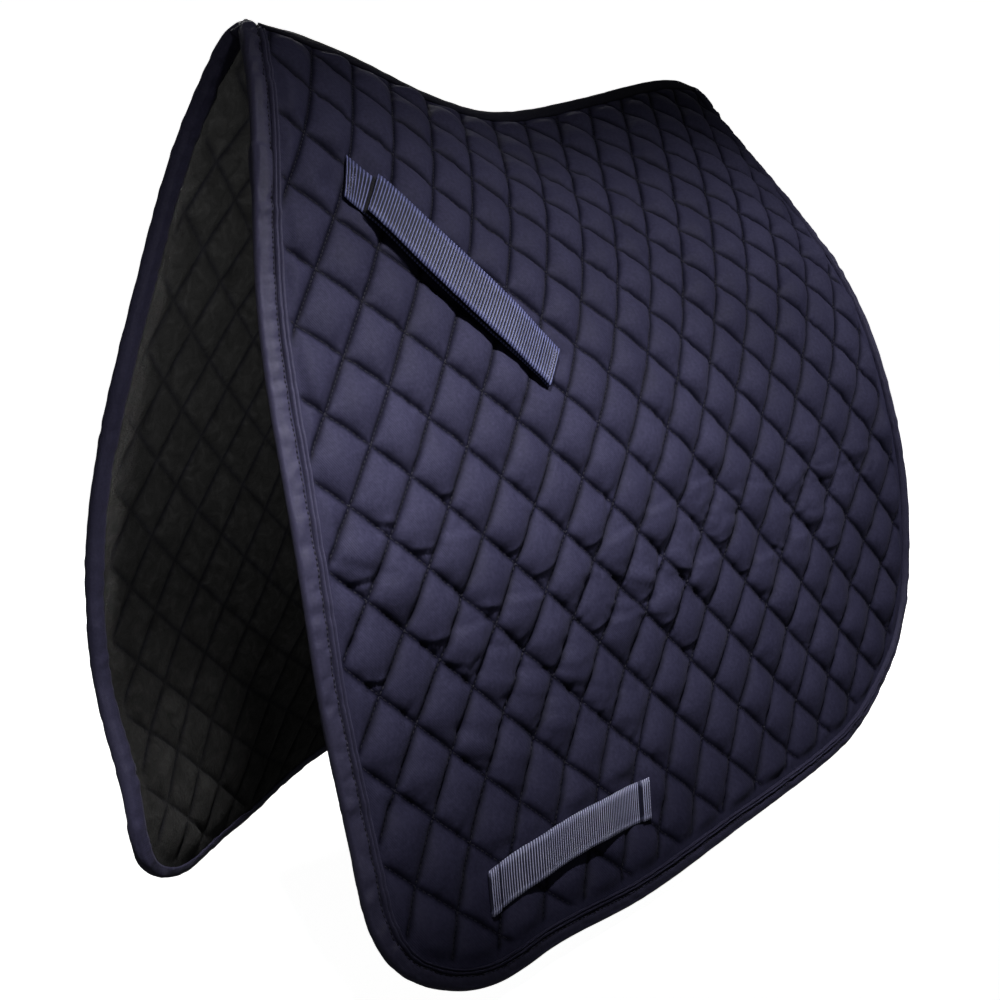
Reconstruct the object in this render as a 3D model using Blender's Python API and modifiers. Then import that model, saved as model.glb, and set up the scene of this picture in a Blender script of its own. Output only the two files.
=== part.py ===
"""Quilted all-purpose saddle pad: two padded halves joined along a contoured spine.

X is across the horse (+X its left side), Y runs along the spine (front at -Y), Z is up.
The origin is the underside of the centre seam tape at mid spine, where the pad rests
on the horse's back. All constants are in millimetres and degrees.
"""

import math

import bpy
import numpy as np

# ---------------------------------------------------------------- dimensions
SPINE = 580.0                              # length of the spine seam
SPINE_RISE = (0.0, -32.0, -41.0, -12.0, 0.0)   # swan-neck dip, five even stations
DROP_ROWS = (0.0, 100.0, 250.0, 420.0, 620.0)  # distance below the spine, along the cloth
SLOPE_FRONT = (49.0, 66.0, 74.0, 87.0, 60.0)   # fall of the cloth from level at each row
SLOPE_MID = (42.0, 46.0, 70.0, 89.0, 70.0)
SLOPE_REAR = (56.0, 53.0, 49.0, 85.0, 91.0)

# Cutting pattern of one half: (along the spine, down the cloth), front top to rear top.
FRONT_EDGE = ((-290, 0), (-320, 75), (-352, 175), (-378, 275), (-391, 360), (-395, 450), (-400, 530))
FRONT_CORNER = ((-396, 589),)
BOTTOM_EDGE = ((-356, 612), (-245, 598), (-140, 593), (-53, 588), (33, 587), (95, 581))
REAR_CORNER = ((148, 556),)
REAR_EDGE = ((182, 496), (189, 422), (189, 345), (197, 262), (213, 185), (242, 105), (258, 50), (274, 0))

# Layers of one half, as depth under the outer face.
GAP = 0.3
SHELL_THICK = 1.2
WADDING_THICK = 6.6
LINING_THICK = 1.2
LAYER_GAP = 0.5
WADDING_TOP = SHELL_THICK + LAYER_GAP
LINING_TOP = WADDING_TOP + WADDING_THICK + LAYER_GAP
PAD_DEPTH = LINING_TOP + LINING_THICK

# Edge finish.
BINDING_THICK = 1.0
BINDING_OUTER = 9.5
BINDING_INNER = 9.0
BINDING_GAP = 0.75
BINDING_UNDER = 0.8                        # the inner fold clears the lining by a little more
RIBBON = 25.0                              # first row of the panel mesh, inside the binding
PIPING_INSET = BINDING_OUTER + 0.5
PIPING_WIDTH = 6.0                         # a folded tape over two thin cords
PIPING_HEIGHT = 2.6
SPINE_TAPE_WIDTH = 12.0
SPINE_TAPE_THICK = 1.0
SPINE_TAPE_GAP = 0.8
SPINE_TAPE_FRONT = -266.0
SPINE_TAPE_REAR = 249.0
SEAM_TAPE_REACH = 30.0
SEAM_TAPE_THICK = 1.2
SEAM_TAPE_GAP = 1.0
SEAM_TAPE_FRONT = -262.0
SEAM_TAPE_REAR = 240.0
SEAM_CLEAR = 0.9                           # half gap between the two halves

# Billet strap: a stand-off loop with a hook-and-loop tongue over it.
WEB_THICK = 1.5
STRAP_START = (-280.5, 118.0)
STRAP_END = (-185.8, 247.0)
STRAP_WIDTH = 29.0
STRAP_STAND_OFF = 9.0
TAPE_WIDTH = 25.0
TAPE_THICK = 0.8
TACK_LENGTH = 3.0
TACK_THICK = 0.7

# Girth keeper loop.
KEEPER_START = (-327.0, 563.0)
KEEPER_END = (-179.0, 540.0)
KEEPER_WIDTH = 24.0
KEEPER_STAND_OFF = 11.0
KEEPER_TAB = 10.0

ROWS = 16
COLUMNS = 13
FIRST_ROW = 26.0

NAVY = (0.035, 0.038, 0.075, 1.0)
BLACK = (0.02, 0.02, 0.02, 1.0)
WHITE = (0.75, 0.75, 0.73, 1.0)
LILAC = (0.33, 0.34, 0.47, 1.0)
DARK = (0.03, 0.03, 0.05, 1.0)


# ---------------------------------------------------------------- the cloth surface
def natural_spline(knots, values):
    """Natural cubic spline through (knots, values), as a function."""
    k = np.asarray(knots, float)
    v = np.asarray(values, float)
    n = len(k)
    h = np.diff(k)
    a = np.zeros((n, n))
    b = np.zeros((n,) + v.shape[1:])
    a[0, 0] = a[-1, -1] = 1.0
    for i in range(1, n - 1):
        a[i, i - 1 : i + 2] = h[i - 1], 2 * (h[i - 1] + h[i]), h[i]
        b[i] = 6 * ((v[i + 1] - v[i]) / h[i] - (v[i] - v[i - 1]) / h[i - 1])
    m = np.linalg.solve(a, b)

    def at(x):
        x = np.asarray(x, float)
        i = np.clip(np.searchsorted(k, x) - 1, 0, n - 2)
        d = x - k[i]
        e = k[i + 1] - x
        if v.ndim > 1:
            d, e = d[..., None], e[..., None]
        s = h[i][..., None] if v.ndim > 1 else h[i]
        return (
            m[i] * e**3 / (6 * s)
            + m[i + 1] * d**3 / (6 * s)
            + (v[i] / s - m[i] * s / 6) * e
            + (v[i + 1] / s - m[i + 1] * s / 6) * d
        )

    return at


spine_height = natural_spline(np.linspace(-0.5, 0.5, 5) * SPINE, SPINE_RISE)
slope_rows = natural_spline(DROP_ROWS, np.radians(np.array([SLOPE_FRONT, SLOPE_MID, SLOPE_REAR]).T))
GAUSS_X, GAUSS_W = np.polynomial.legendre.leggauss(10)


def slope(y, t):
    s = y / SPINE
    w = np.stack([2 * s * s - s, 1 - 4 * s * s, 2 * s * s + s], -1)
    return (slope_rows(t) * w).sum(-1)


def outer_face(y, t):
    """Points of the left half's outer face, before the origin shift."""
    y, t = np.broadcast_arrays(np.asarray(y, float), np.asarray(t, float))
    fall = slope(y[..., None], (GAUSS_X + 1) / 2 * t[..., None])
    w = GAUSS_W / 2 * t[..., None]
    return np.stack([(np.cos(fall) * w).sum(-1), y, spine_height(y) - (np.sin(fall) * w).sum(-1)], -1)


def outward(y, t):
    d = 0.5
    along = outer_face(y + d, t) - outer_face(y - d, t)
    down = outer_face(y, t + d) - outer_face(y, t - d)
    n = np.cross(along, down)
    n *= np.sign(n[..., :1] + 1e-12)
    return n / np.linalg.norm(n, axis=-1, keepdims=True)


def mitre(y, depth):
    """Shortest drop at which cloth of this depth stays on its own side of the spine."""
    a = slope(np.asarray(y, float), np.zeros_like(np.asarray(y, float)))
    return (SEAM_CLEAR + depth * np.sin(a)) / np.cos(a)


def place(y, t, height, cut=None):
    """Points on the left half, at this height over the outer face, cut at the spine plane along the edges' lean."""
    y, t, height = np.broadcast_arrays(*(np.asarray(v, float) for v in (y, t, height)))
    short = np.maximum(mitre(y, -height if cut is None else cut) - t, 0)
    lean = EDGE_LEAN_FRONT + (EDGE_LEAN_REAR - EDGE_LEAN_FRONT) * (y / SPINE + 0.5)
    y, t = y + lean * short, t + short
    p = outer_face(y, t) + outward(y, t) * height[..., None]
    return p + (0, 0, ORIGIN_DROP)


EDGE_LEAN_FRONT = (FRONT_EDGE[1][0] - FRONT_EDGE[0][0]) / FRONT_EDGE[1][1]
EDGE_LEAN_REAR = (REAR_EDGE[-2][0] - REAR_EDGE[-1][0]) / REAR_EDGE[-2][1]
SEAM_UNDER = PAD_DEPTH + SEAM_TAPE_GAP + SEAM_TAPE_THICK
ORIGIN_DROP = 0.0
ORIGIN_DROP = float(SEAM_UNDER / math.cos(math.radians(SLOPE_MID[0])) - spine_height(0.0))

# ---------------------------------------------------------------- the cutting pattern
PATTERN = np.array(FRONT_EDGE + FRONT_CORNER + BOTTOM_EDGE + REAR_CORNER + REAR_EDGE, float)
chord = np.r_[0, np.cumsum(np.linalg.norm(np.diff(PATTERN, axis=0), axis=1))]
pattern_curve = natural_spline(chord, PATTERN)
FRONT_END = chord[len(FRONT_EDGE)]
REAR_END = chord[len(FRONT_EDGE) + 1 + len(BOTTOM_EDGE)]


def side_stations(start, end):
    step = FIRST_ROW * np.sign(end - start)
    return np.r_[start, np.linspace(start + step, end, ROWS)]


FRONT_STATIONS = side_stations(0.0, FRONT_END)
REAR_STATIONS = side_stations(chord[-1], REAR_END)
STATIONS = np.r_[FRONT_STATIONS, np.linspace(FRONT_END, REAR_END, COLUMNS + 1)[1:-1], REAR_STATIONS[::-1]]


def pattern_at(station, inset):
    """Point of the pattern's edge, moved inwards over the cloth."""
    p = pattern_curve(station)
    d = pattern_curve(station + 0.5) - pattern_curve(station - 0.5)
    n = np.stack([d[..., 1], -d[..., 0]], -1)
    n /= np.linalg.norm(n, axis=-1, keepdims=True)
    q = p + n * np.asarray(inset, float)[..., None]
    at_spine = np.isclose(p[..., 1], 0, atol=1e-6)
    across = np.where(p[..., 0] < 0, 1.0, -1.0) * np.asarray(inset, float) / np.abs(n[..., 0])
    q[..., 0] = np.where(at_spine, p[..., 0] + across, q[..., 0])
    q[..., 1] = np.where(at_spine, 0.0, q[..., 1])
    return q


def panel_sheet():
    """(y, t) of a mesh of one half: a grid inside the binding, and a ribbon under it. With its faces."""
    front = pattern_at(FRONT_STATIONS, np.full(len(FRONT_STATIONS), RIBBON))
    rear = pattern_at(REAR_STATIONS, np.full(len(REAR_STATIONS), RIBBON))
    base = pattern_at(np.linspace(FRONT_END, REAR_END, COLUMNS + 1), np.full(COLUMNS + 1, RIBBON))
    base[0], base[-1] = front[-1], rear[-1]
    u = np.linspace(0, 1, COLUMNS + 1)[None, :, None]
    v = ((FRONT_STATIONS - FRONT_STATIONS[0]) / FRONT_END)[:, None, None]
    top = front[0] + (rear[0] - front[0]) * u[0]
    grid = (
        (1 - u) * front[:, None] + u * rear[:, None] + (1 - v) * top[None] + v * base[None]
        - (1 - u) * (1 - v) * front[0] - u * (1 - v) * rear[0] - (1 - u) * v * front[-1] - u * v * rear[-1]
    )
    rim = pattern_at(STATIONS, np.zeros(len(STATIONS)))
    rows, cols = grid.shape[:2]
    at = np.arange(rows * cols).reshape(rows, cols)
    faces = [(at[r, c], at[r + 1, c], at[r + 1, c + 1], at[r, c + 1]) for r in range(rows - 1) for c in range(cols - 1)]
    inner = [at[r, 0] for r in range(rows)] + list(at[-1, 1:-1]) + [at[r, -1] for r in range(rows - 1, -1, -1)]
    first = rows * cols
    faces += [(first + k, first + k + 1, inner[k + 1], inner[k]) for k in range(len(inner) - 1)]
    return np.concatenate([grid.reshape(-1, 2), rim]), faces


SHEET, SHEET_FACES = panel_sheet()

# ---------------------------------------------------------------- the pad's pieces
for old in list(bpy.data.objects):
    bpy.data.objects.remove(old, do_unlink=True)
parts = bpy.data.collections.new("saddle_pad")
bpy.context.scene.collection.children.link(parts)


def material(name, colour, roughness):
    m = bpy.data.materials.new(name)
    m.use_nodes = True
    shader = m.node_tree.nodes["Principled BSDF"]
    shader.inputs["Base Color"].default_value = colour
    shader.inputs["Roughness"].default_value = roughness
    shader.inputs["Metallic"].default_value = 0.0
    m.diffuse_color = colour
    return m


def add(name, data, colour, roughness):
    obj = bpy.data.objects.new(name, data)
    parts.objects.link(obj)
    data.materials.append(material(name, colour, roughness))
    return obj


def mesh_of(name, points, faces, side):
    points = np.asarray(points, float).reshape(-1, 3) * (side, 1, 1) / 1000
    if side < 0:
        faces = [(f[0],) + tuple(reversed(f[1:])) for f in faces]
    mesh = bpy.data.meshes.new(name)
    mesh.from_pydata(points.tolist(), [], [tuple(int(i) for i in f) for f in faces])
    mesh.update()
    return mesh


def sheet(name, points, faces, thick, side, colour, roughness):
    """A cloth sheet given by its outer face, thickened inwards."""
    obj = add(name, mesh_of(name, points, faces, side), colour, roughness)
    solid = obj.modifiers.new("thickness", "SOLIDIFY")
    solid.thickness = thick / 1000
    solid.offset = -1.0
    solid.use_even_offset = False
    solid.use_rim = True
    return obj


def grid_faces(rows, cols):
    at = np.arange(rows * cols).reshape(rows, cols)
    return [(at[r, c], at[r + 1, c], at[r + 1, c + 1], at[r, c + 1]) for r in range(rows - 1) for c in range(cols - 1)]


def smooth(x):
    x = np.clip(x, 0, 1)
    return x * x * (3 - 2 * x)


def webbing(name, start, end, width, heights, s_values, thick, side, colour, roughness=0.6):
    """A strip laid over the cloth from start to end, its outer face at the given heights."""
    start, end = np.array(start), np.array(end)
    along = (end - start) / np.linalg.norm(end - start)
    across = np.array([along[1], -along[0]])
    across *= np.sign(across[0])
    q = np.linspace(-0.5, 0.5, 4) * width
    yt = start + s_values[:, None, None] * along + q[None, :, None] * across
    points = place(yt[..., 0], yt[..., 1], np.broadcast_to(heights[:, None], yt.shape[:2]))
    faces = grid_faces(len(s_values), len(q))
    n = np.cross(points[1, 0] - points[0, 0], points[0, 1] - points[0, 0])
    if n[0] < 0:
        faces = [tuple(reversed(f)) for f in faces]
    # grid faces run first down s, then across q
    return sheet(name, points, faces, thick, side, colour, roughness)


def layer(name, depth, thick, side, colour, roughness):
    points = place(SHEET[:, 0], SHEET[:, 1], -depth, cut=depth + thick)
    return sheet(name, points, SHEET_FACES, thick, side, colour, roughness)


def edge_trim(name, section, caps, stations, side, roughness):
    """A trim of constant section, given as (inset, height) points, run along the pattern's edge."""
    loops = []
    for inset, height in section:
        p = pattern_at(stations, np.full(len(stations), inset))
        loops.append(place(p[:, 0], p[:, 1], height))
    points = np.stack(loops, 1)
    n = len(section)
    faces = []
    for k in range(len(stations) - 1):
        for i in range(n):
            j = (i + 1) % n
            faces.append((k * n + i, k * n + j, (k + 1) * n + j, (k + 1) * n + i))
    last = (len(stations) - 1) * n
    faces += [tuple(reversed(c)) for c in caps] + [tuple(last + i for i in c) for c in caps]
    return add(name, mesh_of(name, points, faces, side), NAVY, roughness)


def binding(name, side):
    g, u, w, d = BINDING_GAP, BINDING_UNDER, BINDING_THICK, PAD_DEPTH
    section = (
        (BINDING_OUTER, g), (BINDING_OUTER, g + w), (-g - w / 2, g + w), (-g - w, g),
        (-g - w, -d - u), (-g - w / 2, -d - u - w), (BINDING_INNER, -d - u - w), (BINDING_INNER, -d - u),
        (-g, -d - u), (-g, g),
    )
    caps = ((0, 1, 2, 9), (2, 3, 9), (3, 4, 8, 9), (4, 5, 8), (5, 6, 7, 8))
    return edge_trim(name, section, caps, STATIONS, side, 0.55)


def piping(name, side):
    a, w, h, g = PIPING_INSET, PIPING_WIDTH, PIPING_HEIGHT, BINDING_GAP
    section = (
        (a + w, g), (a + w, 0.6 * h), (a + 0.85 * w, h), (a + 0.62 * w, h), (a + 0.5 * w, 0.65 * h),
        (a + 0.38 * w, h), (a + 0.15 * w, h), (a, 0.6 * h), (a, g),
    )
    caps = ((0, 1, 2, 3), (0, 3, 4), (0, 4, 8), (8, 4, 5), (8, 5, 6, 7))
    return edge_trim(name, section, caps, STATIONS[1:-1], side, 0.5)


def spine_tape(name, side):
    y = np.linspace(SPINE_TAPE_FRONT, SPINE_TAPE_REAR, 27)
    t = np.array([0.0, SPINE_TAPE_WIDTH / 2, SPINE_TAPE_WIDTH])
    points = place(y[:, None], t[None], SPINE_TAPE_GAP + SPINE_TAPE_THICK, cut=0.0)
    faces = [tuple(reversed(f)) for f in grid_faces(len(y), len(t))]
    return sheet(name, points, faces, SPINE_TAPE_THICK, side, DARK, 0.5)


def seam_tape(name):
    """The tape under the spine seam, that both halves are sewn to."""
    y = np.linspace(SEAM_TAPE_FRONT, SEAM_TAPE_REAR, 23)
    d = PAD_DEPTH + SEAM_TAPE_GAP

    def profile(depth):
        wing = place(y, SEAM_TAPE_REACH, -depth)
        keel = np.stack([0 * y, y, spine_height(y) + ORIGIN_DROP - depth / np.cos(slope(y, 0 * y))], -1)
        return wing, keel, wing * (-1, 1, 1)

    loop = profile(d) + profile(d + SEAM_TAPE_THICK)[::-1]
    points = np.stack(loop, 1)
    n = len(loop)
    faces = []
    for k in range(len(y) - 1):
        for i in range(n):
            j = (i + 1) % n
            faces.append((k * n + i, (k + 1) * n + i, (k + 1) * n + j, k * n + j))
    caps = ((0, 1, 4, 5), (1, 2, 3, 4))
    last = (len(y) - 1) * n
    faces += list(caps) + [tuple(last + i for i in reversed(c)) for c in caps]
    return add(name, mesh_of(name, points, faces, 1), DARK, 0.6)


def strap_parts(prefix, side):
    length = float(np.linalg.norm(np.subtract(STRAP_END, STRAP_START)))
    base_end = length + 8.0
    ends = np.array(STRAP_END) + (np.array(STRAP_END) - STRAP_START) / length * 8.0

    def under(s):
        """Height of the base webbing's inner face."""
        return 0.6 + STRAP_STAND_OFF * smooth((s - 14) / 34) * smooth((base_end - 14 - s) / 34)

    s = np.linspace(0, base_end, 25)
    webbing(prefix + "strap_base", STRAP_START, ends, STRAP_WIDTH, under(s) + WEB_THICK, s, WEB_THICK, side, LILAC)
    on_base = lambda s: under(s) + WEB_THICK
    tape = s[6:20]
    webbing(prefix + "strap_loop_tape", STRAP_START, ends, TAPE_WIDTH, on_base(tape) + GAP + TAPE_THICK, tape, TAPE_THICK, side, DARK, 0.9)
    hook_top = GAP + TAPE_THICK + GAP + TAPE_THICK
    webbing(prefix + "strap_hook_tape", STRAP_START, ends, TAPE_WIDTH, on_base(tape) + hook_top, tape, TAPE_THICK, side, DARK, 0.8)
    tongue = s[3:23]
    webbing(prefix + "strap_tongue", STRAP_START, ends, STRAP_WIDTH, on_base(tongue) + hook_top + GAP + WEB_THICK, tongue, WEB_THICK, side, LILAC)
    tack = np.array([3.0, 3.0 + TACK_LENGTH])
    webbing(prefix + "strap_tack_upper", STRAP_START, ends, STRAP_WIDTH - 5, on_base(tack) + GAP + TACK_THICK, tack, TACK_THICK, side, LILAC)
    tack = np.array([base_end - 5, base_end - 5 + TACK_LENGTH])
    webbing(prefix + "strap_tack_lower", STRAP_START, ends, STRAP_WIDTH - 5, on_base(tack) + GAP + TACK_THICK, tack, TACK_THICK, side, LILAC)


def keeper_parts(prefix, side):
    length = float(np.linalg.norm(np.subtract(KEEPER_END, KEEPER_START)))

    def under(s):
        return 0.9 + KEEPER_STAND_OFF * smooth((s - 12) / 40) * smooth((length - 12 - s) / 40)

    s = np.r_[0, np.linspace(11, length - 11, 15), length]
    webbing(prefix + "keeper", KEEPER_START, KEEPER_END, KEEPER_WIDTH, under(s) + WEB_THICK, s, WEB_THICK, side, LILAC)
    for end, s in (("front", np.array([0.5, 0.5 + KEEPER_TAB])), ("rear", np.array([length - 0.5 - KEEPER_TAB, length - 0.5]))):
        webbing(prefix + "keeper_tab_" + end, KEEPER_START, KEEPER_END, KEEPER_WIDTH, under(s) + 2 * WEB_THICK + GAP, s, WEB_THICK, side, LILAC)


seam_tape("seam_tape")
for prefix, side in (("left_", 1), ("right_", -1)):
    layer(prefix + "outer_panel", 0.0, SHELL_THICK, side, NAVY, 0.6)
    layer(prefix + "wadding", WADDING_TOP, WADDING_THICK, side, WHITE, 0.9)
    layer(prefix + "lining", LINING_TOP, LINING_THICK, side, BLACK, 0.95)
    binding(prefix + "binding", side)
    piping(prefix + "piping", side)
    spine_tape(prefix + "spine_tape", side)
    strap_parts(prefix, side)
    keeper_parts(prefix, side)
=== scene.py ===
"""Quilted saddle pad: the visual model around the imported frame.

All design numbers are in millimetres and degrees on the cloth: y runs along the spine
(front at -y), t runs down the cloth from the spine. The helpers turn them into metres
in the row frame.
"""

import math

import bpy
import numpy as np
from mathutils import Matrix


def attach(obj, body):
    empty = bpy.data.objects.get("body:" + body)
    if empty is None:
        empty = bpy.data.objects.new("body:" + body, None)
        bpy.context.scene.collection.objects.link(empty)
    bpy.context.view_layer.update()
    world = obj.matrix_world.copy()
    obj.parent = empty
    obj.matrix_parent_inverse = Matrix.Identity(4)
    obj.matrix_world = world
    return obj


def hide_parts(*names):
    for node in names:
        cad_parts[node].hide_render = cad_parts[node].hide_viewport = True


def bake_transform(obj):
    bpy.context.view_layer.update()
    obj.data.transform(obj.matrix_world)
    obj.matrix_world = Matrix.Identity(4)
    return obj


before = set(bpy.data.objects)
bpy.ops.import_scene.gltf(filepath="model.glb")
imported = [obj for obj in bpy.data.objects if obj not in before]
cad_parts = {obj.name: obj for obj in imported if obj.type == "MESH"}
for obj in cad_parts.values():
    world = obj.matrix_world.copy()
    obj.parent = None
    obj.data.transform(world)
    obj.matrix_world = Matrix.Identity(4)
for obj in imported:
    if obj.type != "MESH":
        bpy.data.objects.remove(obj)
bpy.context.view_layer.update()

# ------------------------------------------------------------------ the cloth, as in the CAD
SPINE = 580.0
SPINE_RISE = (0.0, -32.0, -41.0, -12.0, 0.0)
DROP_ROWS = (0.0, 100.0, 250.0, 420.0, 620.0)
SLOPE_FRONT = (49.0, 66.0, 74.0, 87.0, 60.0)
SLOPE_MID = (42.0, 46.0, 70.0, 89.0, 70.0)
SLOPE_REAR = (56.0, 53.0, 49.0, 85.0, 91.0)
FRONT_EDGE = ((-290, 0), (-320, 75), (-352, 175), (-378, 275), (-391, 360), (-397, 450), (-400, 530))
FRONT_CORNER = ((-397, 591),)
BOTTOM_EDGE = ((-358, 612), (-300, 606), (-231, 601), (-169, 594.5), (-107, 587.5), (-45, 584.5), (17, 587), (64, 588.5), (100, 582))
REAR_CORNER = ((150, 558),)
REAR_EDGE = ((179, 496), (184.5, 422), (185, 345), (199, 262), (217, 185), (245, 105), (257, 50), (266, 0))
ORIGIN_DROP = 57.4167
SEAM_CLEAR = 0.9
EDGE_LEAN = (-0.4, -0.5)

# quilting lattice on the cloth: y and t-minus-spine-height of crossing (0, 0), and the two steps
LATTICE_Y = (-322.058, -24.157, 20.169)
LATTICE_B = (173.472, 29.612, 24.939)

STRAP_START = np.array((-280.5, 118.0))
STRAP_END = np.array([-188.5, 243.4])
STRAP_TURN = 8.0
STRAP_WIDTH = 29.0
STRAP_STAND_OFF = 9.0
KEEPER_START = np.array((-327.0, 566.0))
KEEPER_END = np.array((-179.0, 543.0))
KEEPER_WIDTH = 24.0
KEEPER_STAND_OFF = 11.0

BIND_OUT = 7.6
BIND_IN = 7.8
PIPE_IN = 8.3
PIPE_WIDTH = 4.7
LINE_OUT, FLAT_OUT = -2.9, -1.5
LINE_IN, PUFF_IN, FLAT_IN = -7.4, 3.4, -8.6
PILLOW_WALL, PILLOW_DOME = 2.6, 4.4


def natural_spline(knots, values):
    k = np.asarray(knots, float)
    v = np.asarray(values, float)
    n = len(k)
    h = np.diff(k)
    a = np.zeros((n, n))
    b = np.zeros((n,) + v.shape[1:])
    a[0, 0] = a[-1, -1] = 1.0
    for i in range(1, n - 1):
        a[i, i - 1 : i + 2] = h[i - 1], 2 * (h[i - 1] + h[i]), h[i]
        b[i] = 6 * ((v[i + 1] - v[i]) / h[i] - (v[i] - v[i - 1]) / h[i - 1])
    m = np.linalg.solve(a, b)

    def at(x):
        x = np.asarray(x, float)
        i = np.clip(np.searchsorted(k, x) - 1, 0, n - 2)
        d = x - k[i]
        e = k[i + 1] - x
        s = h[i]
        if v.ndim > 1:
            d, e, s = d[..., None], e[..., None], s[..., None]
        return m[i] * e**3 / (6 * s) + m[i + 1] * d**3 / (6 * s) + (v[i] / s - m[i] * s / 6) * e + (v[i + 1] / s - m[i + 1] * s / 6) * d

    return at


spine_height = natural_spline(np.linspace(-0.5, 0.5, 5) * SPINE, SPINE_RISE)
slope_rows = natural_spline(DROP_ROWS, np.radians(np.array([SLOPE_FRONT, SLOPE_MID, SLOPE_REAR]).T))


def shares(y):
    s = np.asarray(y, float) / SPINE
    return np.stack([2 * s * s - s, 1 - 4 * s * s, 2 * s * s + s], -1)


def top_slope(y):
    return shares(y) @ slope_rows(np.array(0.0))


def smooth(x):
    x = np.clip(x, 0, 1)
    return x * x * (3 - 2 * x)


def bump(x):
    return np.exp(-np.asarray(x, float) ** 2)


# how far the sewn spine stands proud of the CAD's smooth ridge, front to rear
ridge = natural_spline((-295, -265, -225, -185, -145, -105, -65, -25, 35, 95, 155, 215, 245, 275), (5.2, 7.6, 10.7, 9.8, 5.5, 2.5, 1.5, 3.8, 6.0, 3.8, 3.4, 4.2, 3.0, 1.0))


def crown(y, t):
    """The ridge's own rise, its rounded ends, and a little fullness beside them."""
    rise = ridge(np.clip(y, -295, 275)) * (1 - smooth((t - 10) / 150))
    ends = 4.5 * smooth((-240 - y) / 45) + 5.0 * smooth((y - 225) / 40)
    full = 5.0 * smooth((-215 - y) / 60) * bump((t - 22) / 26) + 3.0 * smooth((y - 150) / 60) * bump((t - 140) / 110)
    return rise - ends * np.clip(1 - t / 16, 0, 1) ** 2 + full


# how much higher the far half's lower edge hangs, front to rear
LIFT = natural_spline((-430, -400, -330, -265, -215, -165, -60, 80, 200, 330), (13, 13, 13, 17, 30, 37, 27, 10, 1, 0))


def hang(y, t):
    """How the far half hangs a little differently from its twin: fuller in the middle, its lower rear edge swung out."""
    front = smooth((60 - y) / 380)
    fore = smooth((-175 - y) / 165)
    low = smooth((t - 380) / 220)
    x = 20 * fore * bump((t - 390) / 170) + 5 * fore * bump((t - 215) / 95) - 29 * smooth((t - 440) / 160) * bump((y + 400) / 80) + 9 * low * smooth((y + 370) / 180)
    z = low * LIFT(np.clip(y, -430, 330))
    return np.stack([x, 6 * front * smooth((t - 480) / 130), z], -1)


# the outer face of each half on a fine grid over the cloth, with its normals
GRID_Y = np.arange(-430.0, 322.0, 2.0)
GRID_T = np.arange(-12.0, 662.0, 1.0)


def face_table(side):
    fall = shares(GRID_Y) @ slope_rows(GRID_T).T
    zero = int(np.argmin(np.abs(GRID_T)))

    def run(f):
        c = np.concatenate([np.zeros((len(GRID_Y), 1)), np.cumsum((f[:, 1:] + f[:, :-1]) / 2, axis=1)], axis=1)
        return c - c[:, zero : zero + 1]

    y, t = np.meshgrid(GRID_Y, GRID_T, indexing="ij")
    p = np.stack([run(np.cos(fall)), y, spine_height(y) - run(np.sin(fall)) + ORIGIN_DROP + crown(y, t)], -1)
    if side < 0:
        p = (p + hang(y, t)) * (-1, 1, 1)
    else:
        # the near half's front edge stands a little further forward below the withers
        edge = np.interp(t, [k[1] for k in FRONT_EDGE], [k[0] for k in FRONT_EDGE])
        pull = smooth((edge + 75 - y) / 75) * bump((t - 165) / 100)
        p = p + np.stack([-3.2 * pull, -3.2 * pull, 0 * pull], -1)
    along, down = np.gradient(p, axis=0), np.gradient(p, axis=1)
    n = np.cross(along, down)
    n *= np.sign(n[..., :1] * side)
    return p, n / np.linalg.norm(n, axis=-1, keepdims=True)


FACE = {1: face_table(1), -1: face_table(-1)}


def sample(table, y, t):
    a = np.clip((np.asarray(y, float) - GRID_Y[0]) / 2.0, 0, len(GRID_Y) - 1.001)
    b = np.clip((np.asarray(t, float) - GRID_T[0]) / 1.0, 0, len(GRID_T) - 1.001)
    i, j = a.astype(int), b.astype(int)
    u, v = a - i, b - j
    if table.ndim == 3:
        u, v = u[..., None], v[..., None]
    return (table[i, j] * (1 - u) + table[i + 1, j] * u) * (1 - v) + (table[i, j + 1] * (1 - u) + table[i + 1, j + 1] * u) * v


def outward(y, t, side):
    return sample(FACE[side][1], y, t)


def mitre(y, depth):
    a = top_slope(y)
    return (SEAM_CLEAR + depth * np.sin(a)) / np.cos(a)


def place(y, t, height, side, cut=None):
    """Points in millimetres at this height over the outer face, kept on their own side of the spine."""
    y, t, height = np.broadcast_arrays(*(np.asarray(v, float) for v in (y, t, height)))
    short = np.maximum(mitre(y, -height if cut is None else cut) - t, 0)
    lean = EDGE_LEAN[0] + (EDGE_LEAN[1] - EDGE_LEAN[0]) * (y / SPINE + 0.5)
    y, t = y + lean * short, t + short
    return sample(FACE[side][0], y, t) + outward(y, t, side) * height[..., None]


# ------------------------------------------------------------------ noise
def hashed(a, b, seed):
    h = (a * 374761393 + b * 668265263 + seed * 1442695041) & 0xFFFFFFFF
    h = ((h ^ (h >> 13)) * 1274126177) & 0xFFFFFFFF
    h = h ^ (h >> 16)
    return h / 2147483648.0 - 1.0


def lattice_noise(x, y, seed):
    """Smooth value noise in -1..1, the same on every run."""
    x, y = np.broadcast_arrays(np.asarray(x, float), np.asarray(y, float))
    xi, yi = np.floor(x).astype(np.int64), np.floor(y).astype(np.int64)
    fx, fy = x - xi, y - yi
    fx, fy = fx * fx * fx * (fx * (fx * 6 - 15) + 10), fy * fy * fy * (fy * (fy * 6 - 15) + 10)
    return (
        hashed(xi, yi, seed) * (1 - fx) * (1 - fy) + hashed(xi + 1, yi, seed) * fx * (1 - fy)
        + hashed(xi, yi + 1, seed) * (1 - fx) * fy + hashed(xi + 1, yi + 1, seed) * fx * fy
    )


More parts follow.
